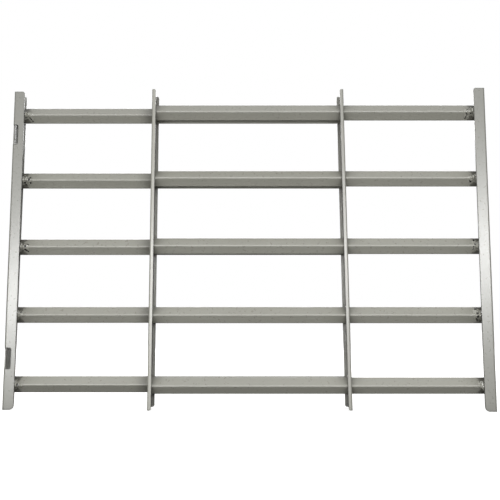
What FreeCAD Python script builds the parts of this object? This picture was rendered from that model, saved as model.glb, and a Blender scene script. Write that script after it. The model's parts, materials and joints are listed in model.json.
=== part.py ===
import FreeCAD, Part
import math
import os

# Telescoping five-bar window guard: two welded halves that slide into each other along X.
# +X is to the right, +Y goes away from the room side, +Z is up.
# The origin is on the sill plane, midway between the two jambs at the stored width.

# ---- driving dimensions, in millimetres and degrees ----
bar_count = 5
bar_pitch = 127.0             # height from one bar's axis to the next
end_overhang = 44.0           # from the outer bars' axes to the ends of the channels
rest_width = 899.0            # over the two end channels at the stored width
left_bar_length = 631.1       # left channel's web to right strap's web
right_bar_length = 626.1      # right channel's web to left strap's web
bar_gap = 2.6                 # between the corners of the front and the rear bars, along Y

tube_size = 22.2              # square tube, across flats
tube_wall = 1.5
tube_corner = 2.4             # outside corner radius of the tube

channel_sheet = 2.5
channel_inside_bend = 0.7
channel_margin = 8.3          # from a tube's corner to the outer face of the leg beside it
left_front_leg = (21.2, 20.2)     # each leg's width at its foot and at its head
left_back_leg = (11.0, 14.0)
right_front_leg = (21.5, 21.5)
right_back_leg = (11.5, 11.5)
leg_corner_top = 5.0          # rounding of the legs' free corners
leg_corner_bottom = 8.5

notch_height = 38.0           # notches over the left channel's outer front corner
notch_web_depth = 4.5         # how far a notch reaches back into the web
upper_notch_width = 9.5
lower_notch_width = 12.5
upper_notch_drop = 40.0       # centre of the upper notch below the top bar's axis
lower_notch_rise = 48.0       # centre of the lower notch above the bottom bar's axis
notch_corner = 3.0

screw_hole_radius = 3.3       # for a 6 mm or quarter-inch screw into the jamb

strap_sheet = 2.0
strap_inside_bend = 1.0
strap_margin = 4.3            # from a tube's corner to the outer face of the leg beside it
strap_leg = (7.0, 7.0)
strap_corner = 4.5            # rounding of the strap legs' free corners
strap_end_gap = 1.5           # how much shorter a strap is than the channels, at each end
right_strap_lean = 0.75       # degrees from upright; its foot stands further right
sliding_clearance = 0.8       # between a tube's flats and the hole it slides in

fillet_weld = 2.0             # leg of the weld round a tube's end
weld_toe = 0.3                # thickness left at the thin end of that weld
leg_weld_bite = 0.6           # how much wider a leg bead is than the gap from the tube's corner to the leg
leg_weld_under = 6.0          # length of the bead behind the leg
leg_weld_beyond = 8.0         # length of the bead past the leg's edge
leg_weld_rounding = 3.0

least_flat = 0.5              # flat left between a leg's bend and its rounded free corner
tool_margin = 5.0             # how far cutting tools run past what they cut

# ---- worked out from the dimensions above ----
bars_height = (bar_count - 1) * bar_pitch
channel_length = bars_height + 2 * end_overhang
mid_height = channel_length / 2
strap_length = channel_length - 2 * strap_end_gap
tube_half_diagonal = tube_size / math.sqrt(2) - tube_corner * (math.sqrt(2) - 1)
rear_y = tube_half_diagonal + bar_gap / 2
front_y = -rear_y
channel_depth = 2 * (tube_half_diagonal + channel_margin)
strap_depth = 2 * (rear_y + tube_half_diagonal + strap_margin)
leg_weld_radius = channel_margin - channel_sheet + leg_weld_bite
left_web_inside = -rest_width / 2 + channel_sheet
right_web_inside = rest_width / 2 - channel_sheet
right_strap_inside = left_web_inside + left_bar_length
left_strap_inside = right_web_inside - right_bar_length
bar_heights = [end_overhang + row * bar_pitch for row in range(bar_count)]

X_AXIS = FreeCAD.Vector(1, 0, 0)
Y_AXIS = FreeCAD.Vector(0, 1, 0)
Z_AXIS = FreeCAD.Vector(0, 0, 1)


def vector(x, y, z):
    return FreeCAD.Vector(x, y, z)


def edges_along(shape, direction, keep):
    """Straight edges parallel to a direction whose middle point passes the test keep."""
    chosen = []
    for edge in shape.Edges:
        if not isinstance(edge.Curve, Part.Line):
            continue
        span = edge.Vertexes[-1].Point - edge.Vertexes[0].Point
        if span.cross(direction).Length > 1e-6:
            continue
        if keep(edge.CenterOfMass):
            chosen.append(edge)
    return chosen


def leg_trimmer(leg, side, widest, depth, length):
    """Cutter for what a leg has beyond its own edge, which runs straight from its foot to its head."""
    foot, head = leg
    low_y = 0 if side > 0 else -depth
    corners = [vector(foot, low_y, 0), vector(widest + tool_margin, low_y, 0),
               vector(widest + tool_margin, low_y, length), vector(head, low_y, length)]
    outline = Part.Face(Part.makePolygon(corners + corners[:1]))
    return outline.extrude(vector(0, depth, 0))


def leg_at(leg, height):
    """A leg's width at a height above its foot."""
    foot, head = leg
    return foot + (head - foot) * height / channel_length


def formed_channel(length, depth, front_leg, back_leg, sheet, inside_bend, top_corner, bottom_corner):
    """Pressed channel: web's outer face on x = 0, legs towards +X, front leg on the -Y side."""
    widest = max(front_leg + back_leg)
    bend = sheet + inside_bend
    outside = Part.makeBox(widest, depth, length, vector(0, -depth / 2, 0))
    outside = outside.makeFillet(bend, edges_along(outside, Z_AXIS, lambda p: p.x < widest / 2))
    hollow = Part.makeBox(widest, depth - 2 * sheet, length + 2 * tool_margin,
                          vector(sheet, sheet - depth / 2, -tool_margin))
    hollow = hollow.makeFillet(inside_bend, edges_along(hollow, Z_AXIS, lambda p: p.x < widest / 2))
    channel = outside.cut(hollow)
    for leg, side in ((front_leg, -1), (back_leg, 1)):
        if min(leg) < widest:
            channel = channel.cut(leg_trimmer(leg, side, widest, depth, length))
    for corner, end, place in ((bottom_corner, 0, 0), (top_corner, length, 1)):
        for leg, side in ((front_leg, -1), (back_leg, 1)):
            radius = min(corner, leg[place] - bend - least_flat)
            free_corner = edges_along(
                channel, Y_AXIS,
                lambda p: abs(p.x - leg[place]) < 1e-6 and abs(p.z - end) < 1e-6 and p.y * side > 0)
            channel = channel.makeFillet(radius, free_corner)
    return channel


def tube_prism(length, growth):
    """Solid square bar on its corner, along +X from x = 0, larger than the tube by growth all round."""
    side = tube_size + 2 * growth
    prism = Part.makeBox(length, side, side, vector(0, -side / 2, -side / 2))
    corner = tube_corner + growth
    prism = prism.makeFillet(corner, edges_along(prism, X_AXIS, lambda p: True))
    prism.rotate(vector(0, 0, 0), X_AXIS, 45)
    return prism


def placed(shape, x, y, z):
    moved = shape.copy()
    moved.translate(vector(x, y, z))
    return moved


def square_tube(start_x, end_x, y, z):
    length = end_x - start_x
    skin = tube_prism(length, 0)
    core = placed(tube_prism(length + 2 * tool_margin, -tube_wall), -tool_margin, 0, 0)
    return placed(skin.cut(core), start_x, y, z)


def mirrored(shape):
    return shape.mirror(vector(0, 0, 0), X_AXIS)


def screw_holes():
    """Drills for the jamb screws, one midway between each pair of bars, along X."""
    reach = channel_sheet + 2 * tool_margin
    heights = [low + bar_pitch / 2 for low in bar_heights[:-1]]
    drills = [Part.makeCylinder(screw_hole_radius, reach, vector(-tool_margin, 0, height), X_AXIS)
              for height in heights]
    return drills


def notch_tool(width, centre_height):
    """Cutter for one notch, over the corner between the web and the front leg."""
    tool = Part.makeBox(width + tool_margin, notch_web_depth + tool_margin, notch_height,
                        vector(-tool_margin, -channel_depth / 2 - tool_margin, centre_height - notch_height / 2))
    inner_edges = edges_along(tool, Y_AXIS, lambda p: p.x > 0)
    return tool.makeFillet(notch_corner, inner_edges)


def left_end_channel():
    channel = formed_channel(channel_length, channel_depth, left_front_leg, left_back_leg,
                             channel_sheet, channel_inside_bend, leg_corner_top, leg_corner_bottom)
    notches = [notch_tool(upper_notch_width, bar_heights[-1] - upper_notch_drop),
               notch_tool(lower_notch_width, bar_heights[0] + lower_notch_rise)]
    channel = channel.cut(notches + screw_holes())
    return placed(channel, -rest_width / 2, rear_y, 0)


def right_end_channel():
    channel = formed_channel(channel_length, channel_depth, right_front_leg, right_back_leg,
                             channel_sheet, channel_inside_bend, leg_corner_top, leg_corner_bottom)
    channel = channel.cut(screw_holes())
    return placed(mirrored(channel), rest_width / 2, front_y, 0)


def guide_holes(x, y):
    """Cutters for the holes that the other half's tubes slide through."""
    reach = 4 * max(strap_leg)
    hole = tube_prism(reach, sliding_clearance)
    return [placed(hole, x - reach / 2, y, height) for height in bar_heights]


def plain_strap():
    """Strap as pressed, with its middle at the origin and its web's inner face on x = 0."""
    strap = formed_channel(strap_length, strap_depth, strap_leg, strap_leg,
                           strap_sheet, strap_inside_bend, strap_corner, strap_corner)
    return placed(strap, -strap_sheet, 0, -strap_length / 2)


def lean(shape):
    """Tilt a shape about the right strap's middle, so that its foot moves to the right."""
    tilted = shape.copy()
    tilted.rotate(vector(0, 0, 0), Y_AXIS, -right_strap_lean)
    return placed(tilted, right_strap_inside, 0, mid_height)


def beyond_right_strap():
    """Everything right of the right strap's inner web face, for trimming what is welded to it."""
    size = 2 * channel_length
    return lean(Part.makeBox(size, size, size, vector(0, -size / 2, -size / 2)))


def left_strap():
    strap = placed(plain_strap(), left_strap_inside, 0, mid_height)
    return strap.cut(guide_holes(left_strap_inside, rear_y))


def right_strap():
    strap = lean(mirrored(plain_strap()))
    return strap.cut(guide_holes(right_strap_inside, front_y))


def left_bar(row):
    tube = square_tube(left_web_inside, right_strap_inside + 2 * tool_margin, rear_y, bar_heights[row])
    return tube.cut(beyond_right_strap())


def right_bar(row):
    return square_tube(left_strap_inside, right_web_inside, front_y, bar_heights[row])


def end_weld(reach_back):
    """Fillet weld round a tube's end: base on x = 0, thinning towards +X; runs reach_back past the base."""
    base = tube_prism(1, fillet_weld)
    toe = tube_prism(1, weld_toe)
    sections = [placed(base.copy(), -reach_back, 0, 0), placed(base.copy(), 0, 0, 0),
                placed(toe.copy(), fillet_weld, 0, 0)]
    wires = []
    for section in sections:
        low_x = section.BoundBox.XMin
        start_face = [face for face in section.Faces if abs(face.CenterOfMass.x - low_x) < 1e-6][0]
        wires.append(start_face.OuterWire)
    ring = Part.makeLoft(wires[1:], True, True)
    if reach_back > 0:
        ring = ring.fuse(Part.makeLoft(wires[:2], True, True)).removeSplitter()
    tube = placed(tube_prism(fillet_weld + reach_back + 2 * tool_margin, 0), -reach_back - tool_margin, 0, 0)
    return ring.cut(tube)


def left_web_welds():
    ring = end_weld(0)
    return [placed(ring, left_web_inside, rear_y, height) for height in bar_heights]


def right_web_welds():
    ring = mirrored(end_weld(0))
    return [placed(ring, right_web_inside, front_y, height) for height in bar_heights]


def left_strap_welds(strap):
    ring = end_weld(0)
    return [placed(ring, left_strap_inside, front_y, height).cut(strap) for height in bar_heights]


def right_strap_welds(strap):
    """The right strap leans, so each ring is made long and trimmed on the strap's face."""
    overrun = bars_height * math.tan(math.radians(right_strap_lean))
    ring = mirrored(end_weld(overrun))
    cutter = beyond_right_strap()
    rings = []
    for height in bar_heights:
        shift = (mid_height - height) * math.tan(math.radians(right_strap_lean))
        rings.append(placed(ring, right_strap_inside + shift, rear_y, height).cut([cutter, strap]))
    return rings


def leg_bead():
    """Bead on a tube's front corner, along X, with the channel leg's edge at x = 0."""
    length = leg_weld_under + leg_weld_beyond
    bead = Part.makeCylinder(leg_weld_radius, length, vector(-leg_weld_under, -tube_half_diagonal, 0), X_AXIS)
    rims = [edge for edge in bead.Edges if isinstance(edge.Curve, Part.Circle)]
    bead = bead.makeFillet(leg_weld_rounding, rims)
    tube = placed(tube_prism(length + 2 * tool_margin, 0), -leg_weld_under - tool_margin, 0, 0)
    return bead.cut(tube)


def left_leg_welds(channel):
    beads = []
    for height in bar_heights:
        edge_x = -rest_width / 2 + leg_at(left_front_leg, height)
        beads.append(placed(leg_bead(), edge_x, rear_y, height).cut(channel))
    return beads


def right_leg_welds(channel):
    bead = mirrored(leg_bead())
    beads = []
    for height in bar_heights:
        edge_x = rest_width / 2 - leg_at(right_front_leg, height)
        beads.append(placed(bead, edge_x, front_y, height).cut(channel))
    return beads


def export(name, shape):
    solids = shape if isinstance(shape, list) else [shape]
    flat = [solid for item in solids for solid in item.Solids]
    body = flat[0] if len(flat) == 1 else Part.makeCompound(flat)
    body.exportStep(f"parts/{name}.step")
    print(f"{name}: {len(flat)} solid(s), valid {body.isValid()}, {sum(s.Volume for s in flat):.0f} mm3")


os.makedirs("parts", exist_ok=True)
left_channel = left_end_channel()
right_channel = right_end_channel()
strap_on_left = left_strap()
strap_on_right = right_strap()
export("left_end_channel", left_channel)
export("right_end_channel", right_channel)
export("left_strap", strap_on_left)
export("right_strap", strap_on_right)
for row in range(bar_count):
    place = bar_count - row
    export(f"left_bar_{place}", left_bar(row))
    export(f"right_bar_{place}", right_bar(row))
export("left_web_welds", left_web_welds())
export("right_web_welds", right_web_welds())
export("left_leg_welds", left_leg_welds(left_channel))
export("right_leg_welds", right_leg_welds(right_channel))
export("left_strap_welds", left_strap_welds(strap_on_left))
export("right_strap_welds", right_strap_welds(strap_on_right))
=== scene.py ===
import json
import math

import bpy
import numpy as np
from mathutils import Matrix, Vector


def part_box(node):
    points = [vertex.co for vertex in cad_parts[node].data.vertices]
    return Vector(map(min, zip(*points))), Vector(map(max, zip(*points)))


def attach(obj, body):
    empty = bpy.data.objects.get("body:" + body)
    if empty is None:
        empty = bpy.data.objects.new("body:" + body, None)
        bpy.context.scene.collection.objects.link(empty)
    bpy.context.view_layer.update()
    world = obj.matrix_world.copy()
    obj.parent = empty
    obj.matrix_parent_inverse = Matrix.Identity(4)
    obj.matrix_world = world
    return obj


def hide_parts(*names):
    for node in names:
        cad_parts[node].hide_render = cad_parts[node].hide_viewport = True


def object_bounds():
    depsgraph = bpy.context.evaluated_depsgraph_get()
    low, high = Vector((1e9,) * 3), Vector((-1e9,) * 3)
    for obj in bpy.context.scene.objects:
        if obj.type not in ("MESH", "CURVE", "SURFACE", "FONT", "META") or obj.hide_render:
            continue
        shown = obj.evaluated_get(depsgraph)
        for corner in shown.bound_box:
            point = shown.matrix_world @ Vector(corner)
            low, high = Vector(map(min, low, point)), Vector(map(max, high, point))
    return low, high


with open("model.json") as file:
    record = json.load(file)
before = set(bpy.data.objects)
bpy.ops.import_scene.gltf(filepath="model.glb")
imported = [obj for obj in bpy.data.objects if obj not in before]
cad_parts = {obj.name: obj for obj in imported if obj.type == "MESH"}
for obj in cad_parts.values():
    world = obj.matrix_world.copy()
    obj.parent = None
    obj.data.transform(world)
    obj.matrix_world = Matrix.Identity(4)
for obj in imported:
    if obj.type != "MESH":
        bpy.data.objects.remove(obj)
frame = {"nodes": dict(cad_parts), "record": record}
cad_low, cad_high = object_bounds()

# ---------------------------------------------------------------------------
# End channels
# The two uprights that are screwed to the window's jambs. Each is a U pressed from 2.5 mm sheet
# steel, with its web against the jamb, punched for the screws, then powder coated in a warm light
# grey. The coat is half glossy, with a fine orange-peel skin. It is painted darker where parts
# meet, as painted shade, and on its thin edges, partly a worn thin coat and partly painted shade.
# ---------------------------------------------------------------------------
channel_light = (0.258, 0.257, 0.229, 1.0)
channel_dark = (0.246, 0.245, 0.218, 1.0)
fleck_colour = (0.62, 0.60, 0.54, 1.0)
# Colour of the painted shade where parts meet, and of the darker thin edges, which are partly a worn
# thin coat and partly painted shade.
wear_shade_colour = (0.060, 0.056, 0.046, 1.0)
# Colour of the coat's dark specks, and of the painted shade down the weld's pits.
speck_and_pit_shade_colour = (0.012, 0.011, 0.010, 1.0)

# Each pattern's fineness, in bumps or cells for each metre, and each relief's depth in metres.
drift_fineness = 9.0
mottle_fineness = 160.0
speck_fineness, speck_share = 48.0, 0.6
skin_fineness, skin_depth = 620.0, 0.0002
wave_fineness, wave_depth, wave_strength = 60.0, 0.0004, 0.10


def add_node(material, kind, inputs=None, **settings):
    """One node of a material, with its settings, and its sockets' values or what feeds them."""
    node = material.node_tree.nodes.new(kind)
    for name, value in settings.items():
        setattr(node, name, value)
    for name, value in (inputs or {}).items():
        socket = node.inputs[name]
        if isinstance(value, bpy.types.NodeSocket):
            material.node_tree.links.new(value, socket)
        else:
            socket.default_value = value
    return node


def noise(material, place, fineness, detail=3.0, roughness=0.55):
    """A noise around 0.5, with so many bumps for each metre."""
    node = add_node(material, "ShaderNodeTexNoise",
                    {"Vector": place, "Scale": fineness, "Detail": detail, "Roughness": roughness})
    return node.outputs["Fac"]


def remap(material, value, low, high, to_low=0.0, to_high=1.0):
    """The value from low to high, stretched to run from to_low to to_high, and held at its ends."""
    node = add_node(material, "ShaderNodeMapRange",
                    {"Value": value, "From Min": low, "From Max": high,
                     "To Min": to_low, "To Max": to_high})
    return node.outputs["Result"]


def mix_colour(material, share, first, second):
    """The first colour with a share of the second mixed in."""
    node = add_node(material, "ShaderNodeMix", {0: share, 6: first, 7: second}, data_type="RGBA")
    return node.outputs[2]


def arithmetic(material, operation, first, second=0.0):
    """The result of one sum on two values, or on one."""
    node = add_node(material, "ShaderNodeMath", {0: first, 1: second}, operation=operation)
    return node.outputs["Value"]


def worn_and_shaded_edge(material, rounded, worn_shaded_share):
    """Share of dark on thin edges, partly a worn thin coat and partly painted shade: from none where the
    rounded normal is the true one, to the whole share given where their cosine is down to 0.88."""
    true = add_node(material, "ShaderNodeNewGeometry").outputs["Normal"]
    turned = add_node(material, "ShaderNodeVectorMath", {0: rounded, 1: true}, operation="DOT_PRODUCT")
    return remap(material, turned.outputs["Value"], 0.995, 0.88, 0.0, worn_shaded_share)


def corner_shade(material, mottle, reach, limits, amount):
    """Share of painted shade where parts meet: from none where the open share of the sky within reach
    is the first limit, to the whole amount at the second, broken up a little by the mottle."""
    corner = add_node(material, "ShaderNodeAmbientOcclusion", {"Distance": reach}, samples=6)
    shade_share = remap(material, corner.outputs["AO"], limits[0], limits[1], 0.0, amount)
    return arithmetic(material, "MULTIPLY", shade_share, remap(material, mottle, 0.0, 1.0, 0.7, 1.0))


def dark_specks(material, place):
    """Share of dark in round dots, each at the middle of a random cell, in one cell out of forty."""
    cells = add_node(material, "ShaderNodeTexVoronoi",
                     {"Vector": place, "Scale": speck_fineness, "Randomness": 1.0})
    dot = remap(material, cells.outputs["Distance"], 0.035, 0.022)
    drawn = add_node(material, "ShaderNodeSeparateColor", {"Color": cells.outputs["Color"]})
    chosen = remap(material, drawn.outputs["Red"], 0.975, 0.98, 0.0, speck_share)
    return arithmetic(material, "MULTIPLY", dot, chosen)


def orange_peel(material, place, rounded, peel):
    """The rounded normal, turned by a fine skin and then by long shallow waves."""
    skin = noise(material, place, skin_fineness, 2.0, 0.5)
    waves = noise(material, place, wave_fineness, 2.0, 0.5)
    fine = add_node(material, "ShaderNodeBump",
                    {"Strength": peel, "Distance": skin_depth, "Height": skin, "Normal": rounded})
    coarse = add_node(material, "ShaderNodeBump",
                      {"Strength": wave_strength, "Distance": wave_depth, "Height": waves,
                       "Normal": fine.outputs["Normal"]})
    return coarse.outputs["Normal"]


def powder_coat(name, light, dark, gloss=(0.27, 0.31), topcoat=0.8, topcoat_gloss=0.26, peel=0.10,
                softness=0.0012, edge_wear_and_shade=0.55, shade_reach=0.020, shade_limits=(0.75, 0.15),
                shade_amount=0.8, shade_mask=None, tint_of_shade=wear_shade_colour):
    """Half-gloss powder coat. It drifts slowly between two greys under a fine mottle, is darker on
    thin edges, partly from a worn thin coat and partly as painted shade, is painted darker and
    rougher where parts meet as painted shade, is painted darker where the mask it is given says,
    as painted shade or shadow, and has a few dark specks. Its skin flows round corners that are
    rounded by the softness, in metres."""
    material = bpy.data.materials.new(name)
    material.use_nodes = True
    material.node_tree.nodes.clear()
    place = add_node(material, "ShaderNodeTexCoord").outputs["Object"]
    rounded = add_node(material, "ShaderNodeBevel", {"Radius": softness}, samples=6).outputs["Normal"]

    drift = remap(material, noise(material, place, drift_fineness), 0.36, 0.64)
    mottle = remap(material, noise(material, place, mottle_fineness, 4.0, 0.6), 0.35, 0.65)
    shade_share = corner_shade(material, mottle, shade_reach, shade_limits, shade_amount)

    colour = mix_colour(material, drift, dark, light)
    colour = mix_colour(material, remap(material, mottle, 0.0, 1.0, 0.0, 0.03), colour, fleck_colour)
    # Painted shade: darker on thin edges (partly a worn thin coat too), where parts meet, and where the
    # mask given says.
    colour = mix_colour(material, worn_and_shaded_edge(material, rounded, edge_wear_and_shade), colour, wear_shade_colour)
    colour = mix_colour(material, shade_share, colour, wear_shade_colour)
    if shade_mask:
        colour = mix_colour(material, shade_mask(material, place), colour, tint_of_shade)
    colour = mix_colour(material, dark_specks(material, place), colour, speck_and_pit_shade_colour)

    sheen = remap(material, mottle, 0.0, 1.0, gloss[0], gloss[1])
    sheen = arithmetic(material, "ADD", sheen, remap(material, shade_share, 0.0, 1.0, 0.0, 0.35))
    shader = add_node(material, "ShaderNodeBsdfPrincipled",
                      {"Base Color": colour, "Roughness": sheen, "IOR": 1.5, "Specular IOR Level": 0.9,
                       "Coat Weight": topcoat, "Coat Roughness": topcoat_gloss,
                       "Normal": orange_peel(material, place, rounded, peel)})
    add_node(material, "ShaderNodeOutputMaterial", {"Surface": shader.outputs["BSDF"]})
    return material


def finish_node(name, material):
    """Gives a CAD node its finished material in every slot."""
    for holder in frame["nodes"][name].material_slots:
        holder.material = material


# The channels' coat is painted darker where parts meet, as painted shade, and on thin edges, partly a
# worn thin coat and partly painted shade.
channel_coat = powder_coat("channel_powder_coat", channel_light, channel_dark, softness=0.0026,
                           edge_wear_and_shade=0.9, shade_reach=0.035, shade_amount=0.92)
finish_node("left_end_channel", channel_coat)
finish_node("right_end_channel", channel_coat)

# ---------------------------------------------------------------------------
# Bars
# Ten square steel tubes set on their corners, five on each half. Each is welded at one end to its
# end channel and at the other to the strap of its own half, and slides in the other half's strap.
# The coat is painted darker beside the welds at the channels' front legs, in triangles that widen
# towards the tube's upper and lower corners, as the painted shadow of each leg, and where parts
# meet, as painted shade.
# ---------------------------------------------------------------------------
coat_light = (0.352, 0.348, 0.302, 1.0)
coat_dark = (0.336, 0.332, 0.288, 1.0)
bar_pitch = 0.127
lowest_bar = 0.044
# The painted shadow of the channels' front legs on the bars: where it starts, how it widens with the
# rise from the bar's axis, its soft edge, how ragged and how fine that edge is, and how dark it is.
leg_shadow_start = 0.4285
leg_shadow_slope = 0.62
leg_shadow_edge = (-0.0005, 0.0025)
leg_shadow_ragged = 0.0025
leg_shadow_fineness = 260.0
leg_shadow_share = 0.72


def shadow_of_leg(material, place):
    """Share of the painted shadow of a channel's front leg: all of it where the way in from the leg
    is less than the slope given above times the rise from the bar's axis, and none beyond a ragged
    edge."""
    at = add_node(material, "ShaderNodeSeparateXYZ", {"Vector": place})
    across = arithmetic(material, "ABSOLUTE", at.outputs["X"])
    inward = arithmetic(material, "SUBTRACT", leg_shadow_start, across)
    above_lowest = arithmetic(material, "SUBTRACT", at.outputs["Z"], lowest_bar)
    rise = arithmetic(material, "PINGPONG", above_lowest, bar_pitch / 2)
    beyond = arithmetic(material, "SUBTRACT", inward, arithmetic(material, "MULTIPLY", rise, leg_shadow_slope))
    ragged = noise(material, place, leg_shadow_fineness)
    ragged = remap(material, ragged, 0.3, 0.7, -leg_shadow_ragged, leg_shadow_ragged)
    beyond = arithmetic(material, "ADD", beyond, ragged)
    return remap(material, beyond, leg_shadow_edge[0], leg_shadow_edge[1], leg_shadow_share, 0.0)


# The bars' coat is painted darker where parts meet, as painted shade, and in triangles beside the
# channels' front legs, as the painted shadow of each leg.
bar_coat = powder_coat("bar_powder_coat", coat_light, coat_dark, softness=0.0052, edge_wear_and_shade=0.0,
                       shade_reach=0.032, shade_limits=(0.97, 0.45), shade_amount=0.75, shade_mask=shadow_of_leg)
for half in ("left", "right"):
    for row in range(1, 6):
        finish_node(f"{half}_bar_{row}", bar_coat)

# ---------------------------------------------------------------------------
# Straps
# Narrow channels pressed from 2 mm sheet, one on the free end of each half's bars. Square holes
# punched on their corners let the other half's bars slide through. Behind the front leg, on the
# web where the bars rub and on the sides, the coat is painted darker, as painted shade.
# ---------------------------------------------------------------------------
# The right strap's coat is the bars' coat made about an eighth darker, as painted shade.
right_strap_shaded_light = (0.310, 0.306, 0.270, 1.0)
right_strap_shaded_dark = (0.294, 0.290, 0.256, 1.0)
# How far back the painted shade behind a strap's front leg starts, and where it is full.
shade_none_depth = -0.0335
shade_full_depth = -0.0300


def web_shade(share):
    """The painted shade of a strap's web and sides: none on the front leg, and this share behind it."""
    def shade_mask(material, place):
        """Share of painted shade, from none to all of it as the place goes back through the leg's sheet.
        """
        depth = add_node(material, "ShaderNodeSeparateXYZ", {"Vector": place}).outputs["Y"]
        return remap(material, depth, shade_none_depth, shade_full_depth, 0.0, share)
    return shade_mask


# The straps' coats are painted darker where parts meet and behind the front leg, as painted shade, more
# on the left strap than on the right.
left_strap_coat = powder_coat("left_strap_powder_coat", coat_light, coat_dark, gloss=(0.33, 0.38),
                              topcoat=0.55, shade_mask=web_shade(0.50))
right_strap_coat = powder_coat("right_strap_powder_coat", right_strap_shaded_light, right_strap_shaded_dark,
                               gloss=(0.33, 0.38), topcoat=0.55, shade_mask=web_shade(0.20))
finish_node("left_strap", left_strap_coat)
finish_node("right_strap", right_strap_coat)

# ---------------------------------------------------------------------------
# Welds round the tubes' ends
# A small fillet weld runs round each tube where it meets its channel's web and its strap's web.
# Laid by hand, so its size swells and shrinks in overlapping ripples, and coated with the rest.
# ---------------------------------------------------------------------------
tube_half_diagonal = 0.014704
tube_corner = 0.0024
tube_flat = 0.0222 - 2 * tube_corner
bar_heights = [lowest_bar + bar_pitch * row for row in (4, 3, 2, 1, 0)]
middle_bar = bar_heights[2]
rear_bars_y = 0.016
front_bars_y = -0.016
channel_sheet = 0.0025
strap_lean = math.radians(0.75)

# A ring's leg along tube and plate, how deep its root lies in both, and its swells as shares.
ring_leg = 0.0019
ring_root = 0.0003
ring_most = 1.12
ripple_length = 0.0024
ripple_swell = 0.10
hand_swell = 0.05


def shade_in_pits(material, place):
    """Share of painted shade in the weld's pits, from how far down a pit its mesh says that a point is.
    """
    pit = add_node(material, "ShaderNodeAttribute", attribute_name="pit", attribute_type="GEOMETRY")
    return remap(material, pit.outputs["Fac"], 0.05, 0.45)


def tube_outline(along):
    """Points (y, z) on a tube's outline and their outward directions, at distances along it from
    its front corner: eight alternating stretches, a quarter arc at each corner and a flat between."""
    arc = tube_corner * math.pi / 2
    side = arc + tube_flat
    shifted = np.mod(along + arc / 2, 4 * side)
    quarter = np.floor(shifted / side)
    within = shifted - quarter * side
    bend = np.minimum(within, arc) / tube_corner - math.pi / 4
    run = np.maximum(within - arc, 0.0)
    corner = tube_half_diagonal - tube_corner
    facing_y, facing_z = -np.cos(bend), np.sin(bend)
    y = -corner + tube_corner * facing_y + run * math.sqrt(0.5)
    z = tube_corner * facing_z + run * math.sqrt(0.5)
    turn = quarter * math.pi / 2
    cos, sin = np.cos(turn), np.sin(turn)
    return (y * cos + z * sin, z * cos - y * sin,
            facing_y * cos + facing_z * sin, facing_z * cos - facing_y * sin)


def wrapped_faces(rows, columns):
    """Quads of a grid whose rows and columns both close on themselves."""
    row, column = np.meshgrid(np.arange(rows), np.arange(columns), indexing="ij")
    next_row, next_column = (row + 1) % rows, (column + 1) % columns
    quads = [row * columns + column, next_row * columns + column,
             next_row * columns + next_column, row * columns + next_column]
    return np.stack(quads, -1).reshape(-1, 4)


def outward(points, quads):
    """The quads, turned round if the volume they enclose comes out negative."""
    a, b, c, d = (points[quads[:, k]] for k in range(4))
    volume = (a * np.cross(b, c)).sum() + (a * np.cross(c, d)).sum()
    return quads if volume > 0 else quads[:, ::-1]


def shaded_piece(name, points, faces, body, slot, material):
    """A smooth-shaded object from its points and faces, riding on its body."""
    mesh = bpy.data.meshes.new(name)
    mesh.from_pydata(points.tolist(), [], faces)
    mesh.polygons.foreach_set("use_smooth", np.ones(len(mesh.polygons), bool))
    mesh.materials.append(material)
    piece = bpy.data.objects.new(name, mesh)
    bpy.context.scene.collection.objects.link(piece)
    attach(piece, body)
    return piece


def weld_rings(plate_x, toward, axis_y, lean, seed):
    """Rippled beads round five tubes. Across: a quarter circle from the tube to the plate, closed
    behind its root. Along: the tube's outline. The circle's radius swells once for each ripple,
    and more slowly with the hand. The plate leans about the middle bar's height."""
    steps, arc_points = 176, 7
    perimeter = 4 * (tube_flat + tube_corner * math.pi / 2)
    along = np.arange(steps) / steps * perimeter
    y, z, facing_y, facing_z = (part[:, None] for part in tube_outline(along))
    sweep = np.linspace(0.0, math.pi / 2, arc_points)
    ripples = round(perimeter / ripple_length)
    whole_turn = 2 * math.pi * along / perimeter
    luck = np.random.default_rng(seed)
    points, quads = [], []
    for height in bar_heights:
        swell = 1.0 + ripple_swell * np.sin(ripples * whole_turn + luck.uniform(0, 6))
        for waves in (2, 3, 5, 9):
            swell += hand_swell * np.sin(waves * whole_turn + luck.uniform(0, 6))
        radius = ring_leg * np.minimum(swell, ring_most)[:, None]
        root = np.full_like(radius, -ring_root)
        out = np.concatenate([radius * np.sin(sweep), root], 1)
        off = np.concatenate([radius * np.cos(sweep), root], 1)
        ring_y = axis_y + y + facing_y * out
        ring_z = height + z + facing_z * out
        ring_x = plate_x + (middle_bar - ring_z) * math.tan(lean) + toward * off
        points.append(np.stack([ring_x, ring_y, ring_z], -1).reshape(-1, 3))
        ring = wrapped_faces(steps, arc_points + 1)
        quads.append(outward(points[-1], ring) + (len(points) - 1) * len(points[-1]))
    return np.concatenate(points), np.concatenate(quads).tolist()


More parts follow.
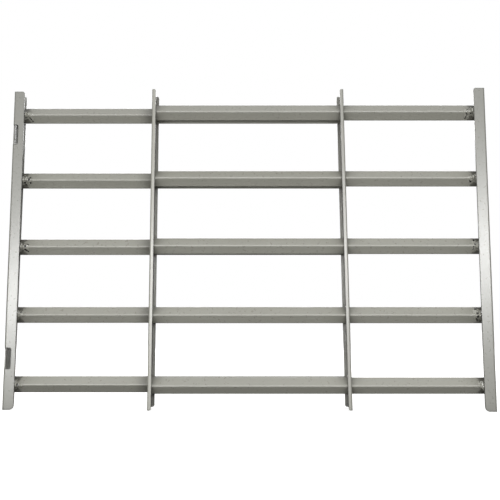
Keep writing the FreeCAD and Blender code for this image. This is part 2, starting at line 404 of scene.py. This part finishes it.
# The welds' coat is painted darker in their crevices and near black down their pits, as painted shade.
weld_coat = powder_coat("weld_powder_coat", coat_light, coat_dark, gloss=(0.16, 0.24), topcoat=1.0,
                        topcoat_gloss=0.16, peel=0.25, shade_reach=0.010, shade_limits=(0.95, 0.15),
                        shade_amount=0.95, shade_mask=shade_in_pits, tint_of_shade=speck_and_pit_shade_colour)
left_web_x = cad_low.x + channel_sheet
right_web_x = cad_high.x - channel_sheet
left_strap_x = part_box("right_bar_1")[0].x
right_strap_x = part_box("left_bar_3")[1].x
for name, plate_x, toward, axis_y, lean, body, seed in (
        ("left_web", left_web_x, 1, rear_bars_y, 0.0, "left_half", 10),
        ("right_web", right_web_x, -1, front_bars_y, 0.0, "right_half", 10),
        ("left_strap", left_strap_x, 1, front_bars_y, 0.0, "right_half", 11),
        ("right_strap", right_strap_x, -1, rear_bars_y, strap_lean, "left_half", 13)):
    rings = weld_rings(plate_x, toward, axis_y, lean, seed)
    beads = shaded_piece(f"{name}_weld_rings", *rings, body, "weld_paint", weld_coat)
    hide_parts(f"{name}_welds")

# ---------------------------------------------------------------------------
# Welds at the channels' front legs
# A heavy, lumpy weld fills the gap between each tube's front corner and the edge of the leg in
# front of it. It is left as laid, with spatter, undercut and gas pits that the coat doesn't fill.
# The pits are painted darker the deeper they go, down to near black, as painted shade.
# ---------------------------------------------------------------------------
left_leg_foot = 0.0212
left_leg_taper = 0.0010
right_leg_width = 0.0215
left_leg_edges = [cad_low.x + left_leg_foot - left_leg_taper * height / cad_high.z
                  for height in bar_heights]
right_leg_edges = [cad_high.x - right_leg_width for height in bar_heights]

# How far from each leg's edge the strap that slides up to it stops. Only the right strap comes
# near the welds, and it leans, so the lower bars leave it less room. There the weld is kept under
# the gap that the strap's holes leave.
closing = frame["record"]["behaviour"]["joints"][0]["range_m"][0]
strap_sheet = 0.0020
under_strap = 0.0006
beside_strap = 0.0006
right_strap_faces = [right_strap_x + strap_sheet + (middle_bar - height) * math.tan(strap_lean)
                     for height in bar_heights]
right_strap_stops = [edge + closing - face - beside_strap
                     for edge, face in zip(right_leg_edges, right_strap_faces)]
left_strap_stops = [0.0180 for height in bar_heights]

# Lumps are (from the leg's edge, above the bar's axis, radius, height) and pits are
# (from the leg's edge, above the bar's axis, radius), all in millimetres, top bar first.
left_lumps = [
    [(1.5, 0, 3.6, 4.6), (6.5, 2, 4.5, 1.9), (10, -3, 4, 1.3), (13, -8, 3, 0.9)],
    [(1.5, 0, 3.4, 4.8), (6.5, 2, 3.4, 3.0), (12, 0, 4.5, 1.5), (13, -5, 3, 1.2)],
    [(1.5, 0, 3.4, 4.5), (7.2, 2.9, 2, 2.3), (11.4, 2.9, 2.2, 2.0), (8, -1, 5, 1.5), (12, -5, 3.5, 1.2)],
    [(1, 0, 3, 4.8), (5, 2, 3.5, 1.9), (9, 0, 3, 1.0)],
    [(1, 0, 3, 4.6), (8.2, -1, 2.5, 1.5), (11, -1.9, 2.5, 1.0)]]
left_pits = [
    [(9, -5.4, 0.9), (10.5, -7.8, 0.7), (12.5, -10.3, 0.7), (14.2, -12, 0.7)],
    [(13.7, 5.4, 1.1), (11.9, 0.3, 1.2), (12.9, 2.6, 0.9), (14.4, -4.8, 1.0), (3.5, -4.5, 1.1),
     (5.5, -8, 1.0)],
    [(5.2, 4.9, 0.9), (9.2, 0.6, 1.2), (13.2, 4.2, 1.0), (8.4, -4.5, 1.2), (10.8, -6.2, 1.0),
     (13.3, -7.9, 1.1), (4, -7, 1.0)],
    [(5, 4.5, 1.1)],
    [(4.3, 0, 1.0)]]
right_lumps = [
    [(1.5, 1.8, 3.2, 4.6), (8, 0, 5, 1.5), (13.5, 6, 2, 1.1), (12, -8, 3.5, 1.2)],
    [(4.4, 1.1, 3.2, 3.6), (9, 3, 2.6, 2.2), (8, -4, 4, 1.2)],
    [(1.5, 0, 3.5, 4.4), (5.6, 2, 3.2, 1.9), (6, 9, 3, 1.0), (7, -5, 4, 1.0)],
    [(1.9, 0.1, 3.6, 4.6), (6, -3, 4, 1.5), (7.5, 8, 4, 1.2)],
    [(1.2, 3.4, 3, 4.5), (0.5, -2, 3, 4.0), (5.7, 5.2, 2, 1.0), (4, 0, 3, 2.0)]]
right_pits = [
    [(10.4, 3.1, 1.0), (12.2, -3.1, 0.8), (10.9, -5.6, 0.8), (12.4, -8.4, 0.8), (13.6, -11, 0.8),
     (4, -3, 1.0)],
    [(8.8, -6.1, 1.2), (11, -4, 0.7)],
    [(6, 10.2, 1.3), (5.6, 2, 0.9), (8.6, -1.5, 0.6), (8.6, -4, 0.6), (8.7, -6.5, 0.6)],
    [(8.4, 10.2, 1.0), (6.5, 10.4, 0.9), (5.7, 2.8, 1.1), (5.3, -2.1, 1.2), (6.8, -6.3, 1.1),
     (5, -9, 1.1)],
    [(2.5, -5, 0.9)]]

# What these welds are made of, in millimetres: a throat, lumps, spatter, ripples and pits. They run
# along the bar from the leg's edge, and round the tube both ways from its front corner.
throat_height, throat_end, throat_fade, throat_width = 6.3, 3.0, 5.0, 4.6
lump_gain, pit_gain = 1.35, 1.45
spatter_beads = 9
ripple_waves, ripple_height, ripple_full = 10, 0.12, 1.2
pit_share, pit_bottom, weld_sink = 0.95, 0.06, 0.15
weld_from, weld_to, weld_round = -6.0, 17.0, 16.5

# In metres: how far the underside lies in the tube's wall, how high the weld may be where no
# strap comes, and over how long it comes down to go under one.
millimetre = 0.001
shell_depth = 0.0008
free_height = 0.008
strap_fade = 0.001


def smooth_step(value):
    """Runs from 0 to 1 as the value does, level at both ends."""
    held = np.clip(value, 0.0, 1.0)
    return held * held * (3 - 2 * held)


def bell(reach, rise, x, z, radius):
    """One at a place, falling away as e to the minus square of the distance over the radius."""
    return np.exp(-(((reach - x) / radius) ** 2 + ((rise - z) / radius) ** 2))


def weld_heights(reach, rise, lumps, pits, luck):
    """Height of the weld over the tube, in millimetres, and how far each place is down a pit. The
    height is the larger of a throat up to the leg and a bell for each lump, plus a bell for each
    bead of spatter, plus ripples where the weld is thick, less nearly all of it down a pit."""
    throat = smooth_step((throat_end - reach) / throat_fade) * np.exp(-((rise / throat_width) ** 2))
    height = throat_height * throat
    for x, z, radius, top in lumps:
        height = np.maximum(height, lump_gain * top * bell(reach, rise, x, z, radius))
    for _ in range(spatter_beads):
        x, z = luck.uniform(0, 15), luck.normal(0, 5)
        radius, top = luck.uniform(0.5, 1.0), luck.uniform(0.3, 0.9)
        height = height + top * bell(reach, rise, x, z, radius)
    ripple = np.zeros_like(height)
    for _ in range(ripple_waves):
        angle, length, shift = luck.uniform(0, math.pi), luck.uniform(2.2, 5.0), luck.uniform(0, 6.3)
        across = reach * math.cos(angle) + rise * math.sin(angle)
        ripple += np.sin(2 * math.pi * across / length + shift)
    height = height + ripple_height * ripple * smooth_step(height / ripple_full)
    depth = np.zeros_like(height)
    for x, z, radius in pits:
        distance = np.hypot(reach - x, rise - z) / (pit_gain * radius)
        depth = np.maximum(depth, np.exp(-(distance ** 4)))
    height = height * (1 - pit_share * depth) - weld_sink * (1 - depth)
    return np.maximum(height, pit_bottom * (2 * depth - 1)), depth


def leg_weld(edge_x, inward, axis_y, bar_height, strap_stop, lumps, pits, seed):
    """Closed shell: its top is the tube's surface raised by the weld's height, its underside lies
    inside the tube's wall, and both run round the front corner from one flat to the other. Where
    a strap slides over the tube, the weld is held below the gap that the strap's hole leaves."""
    reach = np.linspace(weld_from, weld_to, 66)[:, None]
    along = np.linspace(-weld_round, weld_round, 96)[None, :]
    y, z, facing_y, facing_z = tube_outline(along * millimetre)
    height, depth = weld_heights(reach, z / millimetre, lumps, pits, np.random.default_rng(seed))
    free = smooth_step((strap_stop - reach * millimetre) / strap_fade)
    height = np.minimum(height * millimetre, under_strap + free_height * free)
    under = np.full_like(height, -shell_depth)
    loops = []
    for lift, order in ((height, slice(None)), (under, slice(None, None, -1))):
        shell_x = np.broadcast_to(edge_x + inward * reach * millimetre, height.shape)
        shell_y = axis_y + y + facing_y * lift
        shell_z = bar_height + z + facing_z * lift
        loops.append(np.stack([shell_x, shell_y, shell_z], -1)[:, order])
    shell = np.concatenate(loops, 1)
    darkness = np.concatenate([depth, np.zeros_like(depth)], 1)
    return shell, darkness


def leg_welds(edges, inward, axis_y, stops, lumps, pits, seed):
    """The five shells of one channel as one mesh: points, faces and each point's depth down a pit."""
    points, faces, depths, first = [], [], [], 0
    for row in range(5):
        shell, darkness = leg_weld(edges[row], inward, axis_y, bar_heights[row], stops[row],
                                   lumps[row], pits[row], seed + row)
        rows, columns = darkness.shape
        loose = shell.reshape(-1, 3)
        sides = wrapped_faces(rows, columns)[:(rows - 1) * columns]
        turned = outward(loose, sides)
        near_end = np.arange(columns)
        far_end = near_end + (rows - 1) * columns
        if turned[0, 0] == sides[0, 0]:
            near_end = near_end[::-1]
        else:
            far_end = far_end[::-1]
        faces += (turned + first).tolist() + [(near_end + first).tolist(), (far_end + first).tolist()]
        points.append(loose)
        depths.append(darkness.ravel())
        first += len(loose)
    return np.concatenate(points), faces, np.concatenate(depths)


for side, edges, inward, axis_y, stops, lumps, pits, seed in (
        ("left", left_leg_edges, 1, rear_bars_y, left_strap_stops, left_lumps, left_pits, 24),
        ("right", right_leg_edges, -1, front_bars_y, right_strap_stops, right_lumps, right_pits, 25)):
    points, faces, depths = leg_welds(edges, inward, axis_y, stops, lumps, pits, seed)
    beads = shaded_piece(f"{side}_leg_beads", points, faces, f"{side}_half", "weld_paint", weld_coat)
    # Each point's depth down a pit, from which the coat paints the pits near black, as painted shade.
    pit = beads.data.attributes.new("pit", "FLOAT", "POINT")
    pit.data.foreach_set("value", depths.astype(np.float32))
    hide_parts(f"{side}_leg_welds")

# ---------------------------------------------------------------------------
# Floor and light
# A plain pale floor, a bright studio that is dimmer on the right, a long soft light in front, level
# with the middle of the object, that puts the broad sheen on the uprights, and one for the back.
# ---------------------------------------------------------------------------
floor_half = 6.0
floor_drop = 0.0006
floor_pale = (0.80, 0.80, 0.79, 1.0)
floor_bounce = (0.07, 0.07, 0.067, 1.0)
floor_glow = 0.72
pure_white = (1.0, 1.0, 1.0, 1.0)
ceiling_toward = (0.0, -0.64, 0.768)
ceiling_dim, ceiling_bright = 0.07, 1.14
right_side_share = 0.4
strip_height = 0.315
strip_roll = math.radians(5.5)

floor_mesh = bpy.data.meshes.new("floor")
floor_corners = np.array([[-1, -1, 0], [1, -1, 0], [1, 1, 0], [-1, 1, 0]], float) * floor_half
floor_corners[:, 2] = cad_low.z - floor_drop
floor_mesh.from_pydata(floor_corners.tolist(), [], [(0, 1, 2, 3)])
floor = bpy.data.objects.new("floor", floor_mesh)
bpy.context.scene.collection.objects.link(floor)

floor_paint = bpy.data.materials.new("floor_paint")
floor_paint.use_nodes = True
floor_paint.node_tree.nodes.clear()
seen = add_node(floor_paint, "ShaderNodeLightPath")
glow = add_node(floor_paint, "ShaderNodeEmission", {"Color": pure_white, "Strength": floor_glow})
pale = add_node(floor_paint, "ShaderNodeBsdfDiffuse", {"Color": floor_pale})
lit = add_node(floor_paint, "ShaderNodeAddShader", {0: glow.outputs[0], 1: pale.outputs[0]})
bounce = add_node(floor_paint, "ShaderNodeBsdfDiffuse", {"Color": floor_bounce})
either = add_node(floor_paint, "ShaderNodeMixShader",
                  {0: seen.outputs["Is Camera Ray"], 1: bounce.outputs[0], 2: lit.outputs[0]})
add_node(floor_paint, "ShaderNodeOutputMaterial", {"Surface": either.outputs[0]})
floor_mesh.materials.append(floor_paint)

studio = bpy.data.worlds.new("studio")
bpy.context.scene.world = studio
studio.use_nodes = True
studio.node_tree.nodes.clear()
heading = add_node(studio, "ShaderNodeTexCoord").outputs["Generated"]
overhead = add_node(studio, "ShaderNodeVectorMath", {0: heading, 1: ceiling_toward},
                    operation="DOT_PRODUCT")
ceiling = remap(studio, overhead.outputs["Value"], 0.3, 1.0, ceiling_dim, ceiling_bright)
across = add_node(studio, "ShaderNodeSeparateXYZ", {"Vector": heading})
right_dimmed = remap(studio, across.outputs["X"], 0.1, 1.0, 1.0, right_side_share)
ceiling = arithmetic(studio, "MULTIPLY", ceiling, right_dimmed)
around = add_node(studio, "ShaderNodeBackground", {"Color": pure_white, "Strength": ceiling})
backdrop = add_node(studio, "ShaderNodeBackground", {"Color": pure_white, "Strength": 1.0})
looked = add_node(studio, "ShaderNodeLightPath")
sky = add_node(studio, "ShaderNodeMixShader",
               {0: looked.outputs["Is Camera Ray"], 1: around.outputs[0], 2: backdrop.outputs[0]})
add_node(studio, "ShaderNodeOutputWorld", {"Surface": sky.outputs[0]})


def soft_light(name, place, aim, width, height, power, roll=0.0):
    """Rectangular light at a place, turned to face another, then rolled about its own axis."""
    lamp = bpy.data.lights.new(name, "AREA")
    lamp.shape = "RECTANGLE"
    lamp.size = width
    lamp.size_y = height
    lamp.energy = power
    holder = bpy.data.objects.new(name, lamp)
    bpy.context.scene.collection.objects.link(holder)
    holder.location = place
    away = Vector(aim) - Vector(place)
    turn = away.to_track_quat("-Z", "Y") @ Matrix.Rotation(roll, 4, "Z").to_quaternion()
    holder.rotation_euler = turn.to_euler()
    holder.visible_camera = False


soft_light("front_strip", (0.0, -2.0, strip_height), (0.0, 0.0, strip_height),
           width=2.9, height=0.22, power=35.0, roll=strip_roll)
soft_light("back_fill", (0.0, 2.3, 1.5), (0.0, 0.0, 0.3), width=2.6, height=1.3, power=44.0)

# ---------------------------------------------------------------------------
# Camera
# Low and square on, tilted up a little, so that the uprights lean together towards the top. The
# lens is shifted to bring the object back to the middle of the picture.
# ---------------------------------------------------------------------------
sensor_width = 36.0
lens_length = 69.192
lens_drop = -0.20
camera_place = (0.00565, -1.819, 0.186)
camera_tilt = math.radians(9.27)
camera_turn = math.radians(0.027)
camera_lens = bpy.data.cameras.new("camera")
camera_lens.sensor_width = sensor_width
camera_lens.lens = lens_length
camera_lens.shift_y = lens_drop
camera_lens.clip_start = 0.05
camera_lens.clip_end = 40.0
camera = bpy.data.objects.new("camera", camera_lens)
camera.location = camera_place
camera.rotation_euler = (math.radians(90.0) + camera_tilt, 0.0, camera_turn)
bpy.context.scene.collection.objects.link(camera)
bpy.context.scene.camera = camera
bpy.context.scene.view_settings.view_transform = "Standard"
